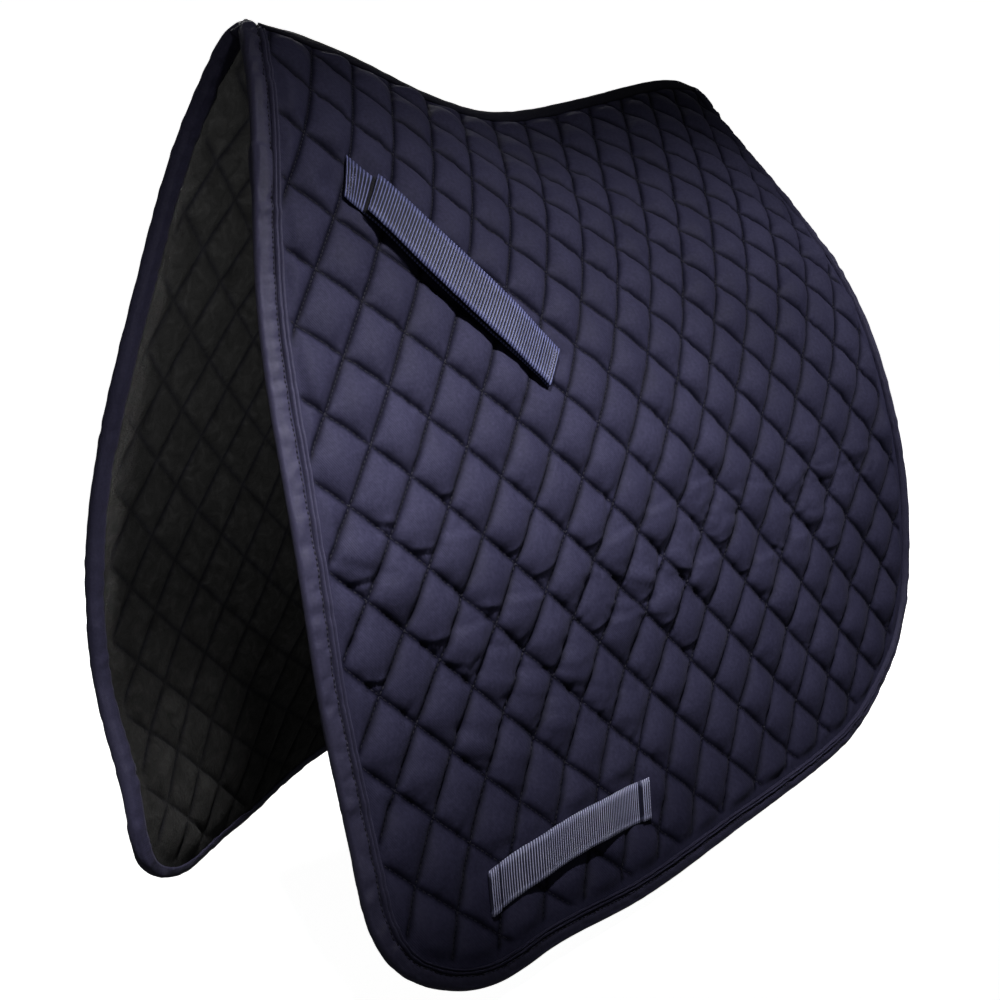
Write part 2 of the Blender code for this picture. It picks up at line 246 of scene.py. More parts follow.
# ------------------------------------------------------------------ the cutting pattern
PATTERN = np.array(FRONT_EDGE + FRONT_CORNER + BOTTOM_EDGE + REAR_CORNER + REAR_EDGE, float)
chord = np.r_[0, np.cumsum(np.linalg.norm(np.diff(PATTERN, axis=0), axis=1))]
pattern_curve = natural_spline(chord, PATTERN)
EDGE_LENGTH = float(chord[-1])


def pattern_at(station, inset):
    p = pattern_curve(station)
    d = pattern_curve(station + 0.5) - pattern_curve(station - 0.5)
    n = np.stack([d[..., 1], -d[..., 0]], -1)
    n /= np.linalg.norm(n, axis=-1, keepdims=True)
    return p + n * np.asarray(inset, float)[..., None]


OUTLINE = pattern_curve(np.linspace(0, EDGE_LENGTH, 420))


def nearest_on(line, p):
    best = np.full(len(p), 1e18)
    out = p.copy()
    for s, e in zip(line[:-1], line[1:]):
        d = e - s
        u = np.clip(((p - s) @ d) / (d @ d + 1e-12), 0, 1)
        q = s + u[:, None] * d
        r = ((p - q) ** 2).sum(1)
        m = r < best
        best[m] = r[m]
        out[m] = q[m]
    return out


def inset_table():
    """Signed distance in from the sewn edge; the spine isn't one."""
    y, t = np.meshgrid(GRID_Y, GRID_T[::2], indexing="ij")
    p = np.stack([y.ravel(), t.ravel()], -1)
    best = np.full(len(p), 1e18)
    for s, e in zip(OUTLINE[:-1], OUTLINE[1:]):
        d = e - s
        u = np.clip(((p - s) @ d) / (d @ d), 0, 1)
        best = np.minimum(best, (p[:, 0] - s[0] - u * d[0]) ** 2 + (p[:, 1] - s[1] - u * d[1]) ** 2)
    loop = np.concatenate([OUTLINE, [(290, -40), (-290, -40)]])
    hit = np.zeros(len(p), bool)
    for (x0, y0), (x1, y1) in zip(loop, np.roll(loop, -1, axis=0)):
        if y0 != y1:
            hit ^= ((y0 > p[:, 1]) != (y1 > p[:, 1])) & (p[:, 0] < (x1 - x0) * (p[:, 1] - y0) / (y1 - y0) + x0)
    coarse = np.where(hit, np.sqrt(best), -np.sqrt(best)).reshape(y.shape)
    full = np.empty((len(GRID_Y), len(GRID_T)))
    full[:, ::2] = coarse
    full[:, 1:-1:2] = (coarse[:, :-1] + coarse[:, 1:])[:, : full[:, 1:-1:2].shape[1]] / 2
    full[:, -1] = full[:, -2]
    return full


INSET = inset_table()


def inset_of(y, t):
    return sample(INSET, y, t)


def cloth_outline(inset, depth):
    """Closed outline of one layer on the cloth, tucked under the binding and cut at the spine."""
    s = np.linspace(0, EDGE_LENGTH, 360)
    rim = pattern_at(s, np.full(len(s), inset))
    keep = rim[:, 1] > mitre(np.clip(rim[:, 0], -290, 290), depth)
    rim = rim[keep]
    y = np.linspace(rim[-1, 0], rim[0, 0], 80)[1:-1]
    return np.concatenate([rim, np.stack([y, mitre(y, depth) + 0.05], -1)])


def cloth_at(i, j):
    y = LATTICE_Y[0] + LATTICE_Y[1] * i + LATTICE_Y[2] * j
    return y, LATTICE_B[0] + LATTICE_B[1] * i + LATTICE_B[2] * j + spine_height(y)


def lattice_of(p):
    m = np.array([[LATTICE_Y[1], LATTICE_Y[2]], [LATTICE_B[1], LATTICE_B[2]]])
    d = np.stack([p[:, 0] - LATTICE_Y[0], p[:, 1] - spine_height(p[:, 0]) - LATTICE_B[0]])
    return np.linalg.solve(m, d).T


STEP_I = math.hypot(LATTICE_Y[1], LATTICE_B[1])
STEP_J = math.hypot(LATTICE_Y[2], LATTICE_B[2])
CELL_FINE = np.array((0, 0.018, 0.04, 0.07, 0.105, 0.15, 0.20, 0.26, 0.325, 0.39, 0.455, 0.52, 0.585, 0.645, 0.70, 0.755, 0.805, 0.85, 0.89, 0.925, 0.955, 0.98))
CELL_LINING = np.array((0, 0.03, 0.07, 0.13, 0.22, 0.35, 0.5, 0.65, 0.78, 0.87, 0.93, 0.97))
CELL_FILL = np.array((0, 0.14, 0.4, 0.7, 0.9))


def quilt_grid(cell, inset, depth):
    """Mesh of a layer with its edges along the quilting lines: lattice coordinates, cloth coordinates and faces."""
    i = (np.arange(-22, 25)[:, None] + cell).ravel()
    j = (np.arange(-14, 35)[:, None] + cell).ravel()
    ii, jj = np.meshgrid(i, j, indexing="ij")
    y, t = cloth_at(ii, jj)
    ok = (y > -428) & (y < 318) & (t > 0) & (t < 640)
    ok &= inset_of(np.where(ok, y, 0), np.where(ok, t, 0)) > inset
    ok &= t > mitre(np.clip(y, -300, 300), depth)
    tile = ok[:-1, :-1] & ok[1:, :-1] & ok[1:, 1:] & ok[:-1, 1:]
    at = np.arange(y.size).reshape(y.shape)
    faces = np.stack([at[:-1, :-1][tile], at[1:, :-1][tile], at[1:, 1:][tile], at[:-1, 1:][tile]], -1)
    used, back = np.unique(faces, return_inverse=True)
    faces = back.reshape(faces.shape)
    p = np.stack([y.ravel()[used], t.ravel()[used]], -1)
    ij = np.stack([ii.ravel()[used], jj.ravel()[used]], -1)
    # the ragged rim is pulled on to the outline
    e = np.sort(np.concatenate([faces[:, [a, (a + 1) % 4]] for a in range(4)]), axis=1)
    u, count = np.unique(e, axis=0, return_counts=True)
    rim = np.unique(u[count == 1])
    outline = cloth_outline(inset, depth)
    p[rim] = nearest_on(np.concatenate([outline, outline[:1]]), p[rim])
    ij[rim] = lattice_of(p[rim])
    return ij, p, faces


# ------------------------------------------------------------------ quilting
def axes_of(start, end):
    along = (end - start) / np.linalg.norm(end - start)
    across = np.array([along[1], -along[0]])
    return along, across * np.sign(across[0])


STRAP_LENGTH = float(np.linalg.norm(STRAP_END - STRAP_START)) + STRAP_TURN
KEEPER_LENGTH = float(np.linalg.norm(KEEPER_END - KEEPER_START))


def sewn_down(y, t):
    """1 where a strap end is sewn through the quilting, fading to 0 around it."""
    p = np.stack([y, t], -1)
    out = np.zeros(len(p))
    for start, end, width, spans in (
        (STRAP_START, STRAP_END, STRAP_WIDTH, ((0, 12), (STRAP_LENGTH - 13, STRAP_LENGTH))),
        (KEEPER_START, KEEPER_END, KEEPER_WIDTH, ((0, 11), (KEEPER_LENGTH - 11, KEEPER_LENGTH))),
    ):
        along, across = axes_of(start, end)
        s, q = (p - start) @ along, np.abs((p - start) @ across)
        for a, b in spans:
            d = np.hypot(np.maximum(np.maximum(a - s, s - b), 0), np.maximum(q - width / 2, 0))
            out = np.maximum(out, smooth(1 - d / 15))
    # strap and keeper lie on the quilting between their ends and press it down a little
    for start, end, width, length, low, press in ((STRAP_START, STRAP_END, STRAP_WIDTH, STRAP_LENGTH, 3, 0.55), (KEEPER_START, KEEPER_END, KEEPER_WIDTH, KEEPER_LENGTH, 5, 0.75)):
        along, across = axes_of(start, end)
        s, q = (p - start) @ along, np.abs((p - start) @ across + low)
        d = np.hypot(np.maximum(np.maximum(-s, s - length), 0), np.maximum(q - width / 2, 0))
        out = np.maximum(out, press * smooth(1 - d / 12))
    return out


# creased corners: cells whose lower corner folds under, and cells creased across their upper corner
LOW_TUCKS = {
    1: ((1, 3), (2, 2), (2, 3), (2, 5), (1, 6), (3, 4), (0, 7), (-1, 10), (0, 9), (0, 10), (-2, 12), (3, 2), (1, 5), (1, 8), (0, 11), (-2, 11), (-3, 13), (4, 3), (-4, 15)),
    -1: ((1, 4), (2, 3), (0, 8), (3, 5), (-1, 9), (2, 6), (-2, 12)),
}
HIGH_TUCKS = {1: ((2, 6), (0, 8), (-1, 9), (1, 9), (-1, 11), (-2, 13), (-2, 10), (-3, 14), (2, 4), (3, 5), (-3, 12)), -1: ((1, 6), (0, 9), (-2, 11), (2, 7))}


def wall(f, length, upper, lower):
    return (1 - np.exp(-f * length / upper)) * (1 - np.exp(-(1 - f) * length / lower))


def pillow(ij, side):
    """Height of the stuffed diamonds over their stitch lines, fuller towards the lower corner."""
    i, j = ij[:, 0], ij[:, 1]
    ci, cj = np.floor(i + 1e-9), np.floor(j + 1e-9)
    u, v = np.clip(i - ci, 0, 1), np.clip(j - cj, 0, 1)
    seed = 3 if side > 0 else 29
    vary = 1 + 0.17 * hashed(ci.astype(np.int64), cj.astype(np.int64), seed)
    lean = 1.2 + 0.14 * hashed(ci.astype(np.int64), cj.astype(np.int64), seed + 1)
    body = wall(u, STEP_I, 3.4, 2.9) * wall(v, STEP_J, 3.0, 2.6)
    dome = np.sin(np.pi * u**lean) * np.sin(np.pi * v**1.12)
    h = (PILLOW_WALL * body + PILLOW_DOME * np.clip(dome, 0, 1) ** 0.9) * vary
    for cells, a, b, depth, width, flat in ((LOW_TUCKS[side], (1.02, 0.58), (0.66, 1.02), 2.0, 1.1, 0.41), (HIGH_TUCKS[side], (0.56, -0.02), (0.05, 0.66), 1.8, 1.5, 0.3)):
        for ca, cb in cells:
            m = (ci == ca) & (cj == cb)
            if not m.any():
                continue
            r = [float(hashed(np.int64(ca), np.int64(cb), k)) for k in (17, 18, 19, 20)]
            a0 = np.array([a[0], a[1] + 0.16 * r[0]])
            b0 = np.array([b[0] + 0.16 * r[1], b[1]])
            p = np.stack([(u[m] - a0[0]) * STEP_I, (v[m] - a0[1]) * STEP_J], -1)
            d = (b0 - a0) * (STEP_I, STEP_J)
            length = np.linalg.norm(d)
            d /= length
            along = (p @ d) / length
            off = p @ np.array([d[1], -d[0]])
            corner = 1.0 if flat > 0.4 else 0.0
            way = np.sign((corner - a0[0]) * STEP_I * d[1] - (corner - a0[1]) * STEP_J * d[0])
            # the crease bows towards one end and dies out at the other
            bow = along - 0.5 - 0.28 * r[2]
            off = off * way + (1.0 + 1.7 * r[3]) * bow * bow - 0.8
            reach = smooth((along + 0.1) / 0.3) if r[2] > 0 else smooth((1.1 - along) / 0.3)
            strength = body[m] ** 0.6 * (0.35 + 0.65 * reach)
            cut = -depth * bump(off / width) + 0.5 * depth * bump((off + 1.9 * width) / (1.3 * width))
            h[m] = h[m] * (1 - 0.6 * flat * smooth(off / 2.4) * (0.35 + 0.65 * reach)) + cut * strength
    return h


def puckers(ij, seed):
    """Small gathers that run off the stitch lines, in millimetres."""
    i, j = ij[:, 0], ij[:, 1]
    di = np.abs(i - np.round(i)) * STEP_I
    dj = np.abs(j - np.round(j)) * STEP_J
    a = lattice_noise(j * STEP_J / 5.0, np.round(i) * 3.7 + di * 0.03, seed + 1) * bump(di / 8.0)
    b = lattice_noise(i * STEP_I / 6.0, np.round(j) * 3.1 + dj * 0.03, seed + 2) * bump(dj / 7.0)
    return 0.75 * a + 0.55 * b


def soft_folds(y, t, seed):
    """Broad, shallow waves of hanging cloth, and finer ones in a band across the middle."""
    h = 1.5 * lattice_noise(y / 120 + 7, t / 95, seed + 11) + 0.6 * lattice_noise(y / 55 + t / 130, t / 60, seed + 12)
    band = bump((t - 395 + 0.05 * (y + 150)) / 45)
    return h + 0.6 * band * lattice_noise(y / 26 + t / 60, t / 20, seed + 13)


def creases(y, t, seed):
    """Fine crumples that the cloth keeps from folding, most in a band across the middle."""
    n = lattice_noise((0.8 * y + 0.35 * t) / 24, (t - 0.3 * y) / 11, seed + 21)
    patch = smooth(lattice_noise(y / 60, t / 45, seed + 22) * 1.4 + 0.4)
    band = 0.25 + 0.75 * bump((t - 400 + 0.05 * (y + 150)) / 75)
    return patch * band * (1.5 * n - 1.5 * bump(n / 0.10))


def relief(ij, y, t, inset, side, layer):
    """Height of a quilted face over the CAD's outer face."""
    seed = 3 if side > 0 else 29
    fade = smooth((inset - 11.5) / 9) * smooth((t - 9) / 14)
    calm = smooth((inset - 14) / 40) * smooth((t - 12) / 50)
    folds = soft_folds(y, t, seed) * calm
    sewn = sewn_down(y, t)
    if layer == "out":
        h = LINE_OUT + pillow(ij, side) * (1 - 0.8 * sewn) + puckers(ij, seed) + creases(y, t, seed)
        return FLAT_OUT + fade * (h - FLAT_OUT) + folds
    i, j = ij[:, 0], ij[:, 1]
    u, v = i - np.floor(i), j - np.floor(j)
    loft = 0.55 * wall(u, STEP_I, 3.2, 3.2) * wall(v, STEP_J, 3.2, 3.2) + 0.45 * np.clip(np.sin(np.pi * u) * np.sin(np.pi * v), 0, 1)
    h = LINE_IN - PUFF_IN * loft + 0.5 * puckers(ij, seed + 40) + 0.18 * lattice_noise(y / 3.1, t / 3.1, seed + 5)
    return FLAT_IN + fade * (h - FLAT_IN) + folds


def valley(ij, inset, t):
    """1 along a stitch line, 0 a few millimetres away: the mask for the painted shade in the stitch lines."""
    i, j = ij[:, 0], ij[:, 1]
    di = np.abs(i - np.round(i)) * STEP_I
    dj = np.abs(j - np.round(j)) * STEP_J
    return np.maximum(0.9 * bump(di / 2.2), bump(dj / 2.1)) * smooth((inset - 12.6) / 3) * smooth((t - 8) / 8)


# ------------------------------------------------------------------ mesh helpers
pad = bpy.data.collections.new("saddle_pad_visual")
bpy.context.scene.collection.children.link(pad)


def mesh_object(name, points_mm, *face_sets):
    points = np.asarray(points_mm, float).reshape(-1, 3) / 1000
    mesh = bpy.data.meshes.new(name)
    faces = []
    for f in face_sets:
        faces += np.asarray(f).tolist()
    mesh.from_pydata(points.tolist(), [], faces)
    mesh.validate()
    mesh.polygons.foreach_set("use_smooth", np.ones(len(mesh.polygons), bool))
    mesh.update()
    obj = bpy.data.objects.new(name, mesh)
    pad.objects.link(obj)
    return obj


def mark(obj, name, values):
    a = obj.data.attributes.new(name, "FLOAT", "POINT")
    a.data.foreach_set("value", np.asarray(values, np.float32).ravel())


def dress(obj, material):
    obj.data.materials.clear()
    obj.data.materials.append(material)
    return obj


def oriented(points, quads):
    """Quads turned to point out of the closed mesh."""
    p = np.asarray(points, float).reshape(-1, 3)
    a, b, c, d = (p[quads[:, k]] for k in range(4))
    total = (a * np.cross(b, c)).sum() + (a * np.cross(c, d)).sum()
    return quads if total > 0 else quads[:, ::-1]


def ribbon(name, section_points, material):
    """A closed mesh from rings of points, section_points[station, point], whose points pair up first to last."""
    stations, n = section_points.shape[:2]
    at = np.arange(stations * n).reshape(stations, n)
    nxt = np.roll(at, -1, axis=1)
    quads = np.stack([at[:-1], nxt[:-1], nxt[1:], at[1:]], -1).reshape(-1, 4)
    k = np.arange(n // 2 - 1)
    first = np.stack([k + 1, k, n - 1 - k, n - 2 - k], -1)
    last = np.stack([k, k + 1, n - 2 - k, n - 1 - k], -1) + (stations - 1) * n
    quads = np.concatenate([quads, first, last])
    obj = mesh_object(name, section_points, oriented(section_points, quads))
    return dress(obj, material)


def flip_to(obj, sign):
    """Turns an open sheet so that its faces look towards +x (or -x)."""
    mesh = obj.data
    n = np.empty(len(mesh.polygons) * 3, np.float32)
    mesh.polygons.foreach_get("normal", n)
    if n.reshape(-1, 3)[:, 0].sum() * sign < 0:
        mesh.flip_normals()


# ------------------------------------------------------------------ materials
def shader(name, colour, roughness, specular=0.3, sheen=0.0, sheen_tint=(1, 1, 1, 1), sheen_rough=0.5):
    m = bpy.data.materials.new(name)
    m.use_nodes = True
    nodes, links = m.node_tree.nodes, m.node_tree.links
    b = nodes["Principled BSDF"]
    b.inputs["Base Color"].default_value = (*colour, 1)
    b.inputs["Roughness"].default_value = roughness
    b.inputs["Metallic"].default_value = 0.0
    b.inputs["Specular IOR Level"].default_value = specular
    b.inputs["Sheen Weight"].default_value = sheen
    b.inputs["Sheen Roughness"].default_value = sheen_rough
    b.inputs["Sheen Tint"].default_value = sheen_tint
    return m, nodes, links, b


def node(nodes, kind, **values):
    n = nodes.new(kind)
    for k, v in values.items():
        if hasattr(n, k):
            setattr(n, k, v)
        else:
            n.inputs[k.replace("_", " ")].default_value = v
    return n


def object_coords(nodes, links, scale=(1, 1, 1), rotation=(0, 0, 0)):
    c = nodes.new("ShaderNodeTexCoord")
    m = nodes.new("ShaderNodeMapping")
    m.inputs["Scale"].default_value = scale
    m.inputs["Rotation"].default_value = rotation
    links.new(c.outputs["Object"], m.inputs["Vector"])
    return m.outputs["Vector"]


def ramp(nodes, links, fac, stops):
    r = nodes.new("ShaderNodeValToRGB")
    while len(r.color_ramp.elements) < len(stops):
        r.color_ramp.elements.new(0.5)
    for e, (at, c) in zip(r.color_ramp.elements, stops):
        e.position = at
        e.color = (*c, 1)
    links.new(fac, r.inputs["Fac"])
    return r.outputs["Color"]


def add_bump(nodes, links, b, pairs):
    """Chained bumps: (height output, strength, distance in metres)."""
    last = None
    for height, strength, distance in pairs:
        n = nodes.new("ShaderNodeBump")
        n.inputs["Strength"].default_value = strength
        n.inputs["Distance"].default_value = distance
        links.new(height, n.inputs["Height"])
        if last is not None:
            links.new(last, n.inputs["Normal"])
        last = n.outputs["Normal"]
    links.new(last, b.inputs["Normal"])


def darken(nodes, links, tone, depth):
    """Cloth pinched in along the stitch lines sees less light than the mesh alone shows."""
    line = nodes.new("ShaderNodeAttribute")
    line.attribute_name = "valley"
    shade = ramp(nodes, links, line.outputs["Fac"], [(0.0, (1, 1, 1)), (1.0, (1 - depth, 1 - depth, 1.25 - 1.15 * depth))])
    mul = nodes.new("ShaderNodeMix")
    mul.data_type = "RGBA"
    mul.blend_type = "MULTIPLY"
    mul.inputs["Factor"].default_value = 1.0
    links.new(tone, mul.inputs["A"])
    links.new(shade, mul.inputs["B"])
    return mul.outputs["Result"]


def woven(name, colour, dark, light, roughness, specular, sheen, tint, pitch_mm, strength=0.3, stitch_line_shade=0.0):
    m, nodes, links, b = shader(name, colour, roughness, specular, sheen, tint)
    v = object_coords(nodes, links)
    grain = node(nodes, "ShaderNodeTexNoise", Scale=1000 / (pitch_mm * 2.6), Detail=3.0, Roughness=0.6)
    links.new(v, grain.inputs["Vector"])
    cloud = node(nodes, "ShaderNodeTexNoise", Scale=17.0, Detail=4.0, Roughness=0.55)
    links.new(v, cloud.inputs["Vector"])
    mix = nodes.new("ShaderNodeMath")
    mix.operation = "MULTIPLY_ADD"
    mix.inputs[1].default_value = 0.55
    links.new(grain.outputs["Fac"], mix.inputs[0])
    half = nodes.new("ShaderNodeMath")
    half.operation = "MULTIPLY"
    half.inputs[1].default_value = 0.45
    links.new(cloud.outputs["Fac"], half.inputs[0])
    links.new(half.outputs[0], mix.inputs[2])
    tone = ramp(nodes, links, mix.outputs[0], [(0.28, dark), (0.5, colour), (0.72, light)])
    # painted shade: the 'valley' mark darkens the base colour along the stitch lines, for the shade in the pinched
    # creases
    if stitch_line_shade:
        tone = darken(nodes, links, tone, stitch_line_shade)
    links.new(tone, b.inputs["Base Color"])
    twill = node(nodes, "ShaderNodeTexWave", wave_type="BANDS", bands_direction="DIAGONAL", Scale=1000 / pitch_mm / 3.2, Distortion=1.2, Detail=2.0)
    twill.inputs["Detail Scale"].default_value = 2.5
    links.new(v, twill.inputs["Vector"])
    rough = nodes.new("ShaderNodeMapRange")
    rough.inputs["From Min"].default_value = 0.3
    rough.inputs["From Max"].default_value = 0.7
    rough.inputs["To Min"].default_value = roughness - 0.08
    rough.inputs["To Max"].default_value = min(1.0, roughness + 0.08)
    links.new(cloud.outputs["Fac"], rough.inputs["Value"])
    links.new(rough.outputs["Result"], b.inputs["Roughness"])
    add_bump(nodes, links, b, [(twill.outputs["Fac"], strength * 0.6, 0.0003), (grain.outputs["Fac"], strength, 0.0006)])
    return m


# navy cotton, painted nearly black as shade along its stitch lines
NAVY = woven("navy_cotton", (0.0265, 0.0256, 0.0555), (0.0172, 0.0166, 0.0385), (0.0385, 0.0372, 0.0765), 0.70, 0.11, 0.03, (0.62, 0.62, 0.85, 1), 0.9, 0.5, stitch_line_shade=0.97)
TAPE = woven("navy_edge_tape", (0.0375, 0.0357, 0.0725), (0.026, 0.0248, 0.052), (0.052, 0.050, 0.096), 0.58, 0.20, 0.07, (0.62, 0.6, 0.85, 1), 0.7, 0.45)
SPINE_MAT = woven("dark_spine_tape", (0.0105, 0.0102, 0.0200), (0.007, 0.007, 0.013), (0.015, 0.0145, 0.028), 0.7, 0.14, 0.03, (0.6, 0.6, 0.8, 1), 0.8)
WADDING = woven("white_wadding", (0.72, 0.72, 0.70), (0.62, 0.62, 0.6), (0.8, 0.8, 0.78), 0.95, 0.1, 0.2, (1, 1, 1, 1), 3.0, 0.6)
THREAD = woven("navy_thread", (0.0125, 0.012, 0.022), (0.008, 0.008, 0.014), (0.020, 0.019, 0.034), 0.55, 0.25, 0.05, (0.6, 0.6, 0.85, 1), 0.4)
TOUCH = woven("dark_touch_tape", (0.012, 0.012, 0.016), (0.007, 0.007, 0.010), (0.022, 0.022, 0.03), 0.9, 0.15, 0.2, (0.5, 0.5, 0.6, 1), 1.2, 0.8)


def fleece(name):
    m, nodes, links, b = shader(name, (0.0205, 0.0204, 0.0203), 0.95, 0.08, 0.10, (0.55, 0.55, 0.55, 1), 0.55)
    v = object_coords(nodes, links)
    fuzz = node(nodes, "ShaderNodeTexNoise", Scale=420.0, Detail=6.0, Roughness=0.72)
    links.new(v, fuzz.inputs["Vector"])
    clump = node(nodes, "ShaderNodeTexNoise", Scale=95.0, Detail=5.0, Roughness=0.65, Distortion=0.8)
    links.new(v, clump.inputs["Vector"])
    tone = ramp(nodes, links, clump.outputs["Fac"], [(0.32, (0.0105, 0.0105, 0.0105)), (0.52, (0.0205, 0.0204, 0.0203)), (0.75, (0.0400, 0.0398, 0.0395))])
    # painted shade along the lining's stitch lines, from the 'valley' mark
    links.new(darken(nodes, links, tone, 0.8), b.inputs["Base Color"])
    add_bump(nodes, links, b, [(clump.outputs["Fac"], 0.8, 0.0016), (fuzz.outputs["Fac"], 0.9, 0.0009)])
    return m


FLEECE = fleece("black_fleece")


def ribbed(name, colour, dark, light):
    """Grosgrain webbing: the ribs are in the mesh, the yarn is here, and the 'rib' mark paints shade into the grooves
    between the ribs.
    """
    m, nodes, links, b = shader(name, colour, 0.50, 0.28, 0.06, (0.7, 0.7, 1.0, 1), 0.4)
    v = object_coords(nodes, links)
    yarn = node(nodes, "ShaderNodeTexNoise", Scale=900.0, Detail=3.0, Roughness=0.7)
    links.new(v, yarn.inputs["Vector"])
    worn = node(nodes, "ShaderNodeTexNoise", Scale=60.0, Detail=3.0, Roughness=0.6)
    links.new(v, worn.inputs["Vector"])
    mix = nodes.new("ShaderNodeMath")
    mix.operation = "MULTIPLY_ADD"
    mix.inputs[1].default_value = 0.6
    links.new(yarn.outputs["Fac"], mix.inputs[0])
    half = nodes.new("ShaderNodeMath")
    half.operation = "MULTIPLY"
    half.inputs[1].default_value = 0.4
    links.new(worn.outputs["Fac"], half.inputs[0])
    links.new(half.outputs[0], mix.inputs[2])
    ribs = nodes.new("ShaderNodeAttribute")
    ribs.attribute_name = "rib"
    col = ramp(nodes, links, mix.outputs[0], [(0.3, dark), (0.5, colour), (0.7, light)])
    # painted shade: grooves between the ribs go nearly black, crests keep their full colour
    shade = ramp(nodes, links, ribs.outputs["Fac"], [(0.40, (0.02, 0.02, 0.035)), (0.72, (0.24, 0.24, 0.30)), (0.98, (1.0, 1.0, 1.0))])
    mul = nodes.new("ShaderNodeMix")
    mul.data_type = "RGBA"
    mul.blend_type = "MULTIPLY"
    mul.inputs["Factor"].default_value = 1.0
    links.new(col, mul.inputs["A"])
    links.new(shade, mul.inputs["B"])
    links.new(mul.outputs["Result"], b.inputs["Base Color"])
    add_bump(nodes, links, b, [(yarn.outputs["Fac"], 0.5, 0.0004)])
    return m


WEB_THREAD = woven("lilac_thread", (0.15, 0.152, 0.235), (0.09, 0.09, 0.15), (0.24, 0.24, 0.34), 0.45, 0.4, 0.1, (0.8, 0.8, 1, 1), 0.4)
WEBBING = ribbed("lilac_webbing", (0.150, 0.166, 0.350), (0.089, 0.098, 0.220), (0.250, 0.275, 0.505))
KEEPER_WEB = ribbed("pale_webbing", (0.600, 0.620, 0.880), (0.390, 0.405, 0.630), (0.780, 0.800, 0.960))

# ------------------------------------------------------------------ the quilted halves
CELL = CELL_FINE


def layer_of(cell, side, layer, inset, depth):
    ij, p, faces = quilt_grid(cell, inset, depth)
    y, t = p[:, 0], p[:, 1]
    edge = inset_of(y, t)
    h = relief(ij, y, t, edge, side, layer)
    return ij, y, t, edge, faces, place(y, t, h, side, cut=depth)


def outer_panel(prefix, side):
    ij, y, t, edge, faces, points = layer_of(CELL, side, "out", 3.0, 0.6)
    obj = mesh_object(prefix + "quilted_shell", points, faces)
    flip_to(obj, side)
    # the 'valley' mark carries the painted shade along the stitch lines
    mark(obj, "valley", valley(ij, edge, t))
    return dress(obj, NAVY)


def lining(prefix, side):
    ij, y, t, edge, faces, points = layer_of(CELL_LINING, side, "in", 3.0, 9.6)
    obj = mesh_object(prefix + "fleece_lining", points, faces)
    flip_to(obj, -side)
    # the 'valley' mark carries the painted shade along the stitch lines
    mark(obj, "valley", valley(ij, edge, t))
    return dress(obj, FLEECE)


def wadding(prefix, side):
    """The fill between the two faces, a closed body that is thin under the stitching."""
    ij, p, faces = quilt_grid(CELL_FILL, 18.0, 24.0)
    y, t = p[:, 0], p[:, 1]
    edge = inset_of(y, t)
    folds = soft_folds(y, t, 3 if side > 0 else 29) * smooth((edge - 14) / 40) * smooth((t - 12) / 50)
    inner = relief(ij, y, t, edge, side, "in")
    up = np.minimum(relief(ij, y, t, edge, side, "out") - 2.4, folds - 4.8)
    low = np.maximum(np.minimum(inner + 2.3, up - 0.8), inner + 0.35)
    up = np.maximum(up, low + 0.25)
    points = np.concatenate([place(y, t, up, side, cut=24.0), place(y, t, low, side, cut=24.0)])
    k = len(p)
    e = np.concatenate([faces[:, [a, (a + 1) % 4]] for a in range(4)])
    u, first, count = np.unique(np.sort(e, axis=1), axis=0, return_index=True, return_counts=True)
    rim = e[first[count == 1]]
    quads = np.concatenate([faces, faces[:, ::-1] + k, np.stack([rim[:, 1], rim[:, 0], rim[:, 0] + k, rim[:, 1] + k], -1)])
    obj = mesh_object(prefix + "wadding_fill", points, oriented(points, quads))
    return dress(obj, WADDING)


# ------------------------------------------------------------------ stitching
def stitches(name, runs, radius, material):
    """Short raised stitches, each a small spindle between its two needle holes."""
    a, b, n = (np.concatenate([r[k] for r in runs if r is not None]) for k in range(3))
    d = b - a
    d /= np.maximum(np.linalg.norm(d, axis=1, keepdims=True), 1e-6)
    w = np.cross(n, d)
    w /= np.maximum(np.linalg.norm(w, axis=1, keepdims=True), 1e-6)
    up = np.cross(d, w)
    rings = [a - n * radius * 0.9]
    for f, s in ((0.16, 0.75), (0.5, 1.0), (0.84, 0.75)):
        c = a + (b - a) * f + n * radius * (0.35 if f == 0.5 else 0.05)
        for k in range(5):
            ang = 2 * math.pi * k / 5
            rings.append(c + (w * math.cos(ang) + up * math.sin(ang)) * radius * s)
    rings.append(b - n * radius * 0.9)
    points = np.stack(rings, 1)
    tris, quads = [], []
    for k in range(5):
        q = (k + 1) % 5
        tris += [(0, 1 + q, 1 + k), (16, 11 + k, 11 + q)]
        quads += [(1 + r + k, 1 + r + q, 6 + r + q, 6 + r + k) for r in (0, 5)]
    base = (np.arange(len(a)) * 17)[:, None, None]
    obj = mesh_object(name, points, (base + np.array(tris)).reshape(-1, 3), (base + np.array(quads)).reshape(-1, 4))
    return dress(obj, material)


def run_along(y, t, height, side, pitch, share):
    """Stitches along a line on the cloth."""
    s = np.r_[0, np.cumsum(np.hypot(np.diff(y), np.diff(t)))]
    if s[-1] < pitch * 2:
        return None
    starts = np.arange(0.5, s[-1] - pitch, pitch)
    ya, ta, ha = (np.interp(starts, s, v) for v in (y, t, height))
    yb, tb, hb = (np.interp(starts + pitch * share, s, v) for v in (y, t, height))
    return place(ya, ta, ha, side), place(yb, tb, hb, side), outward((ya + yb) / 2, (ta + tb) / 2, side)


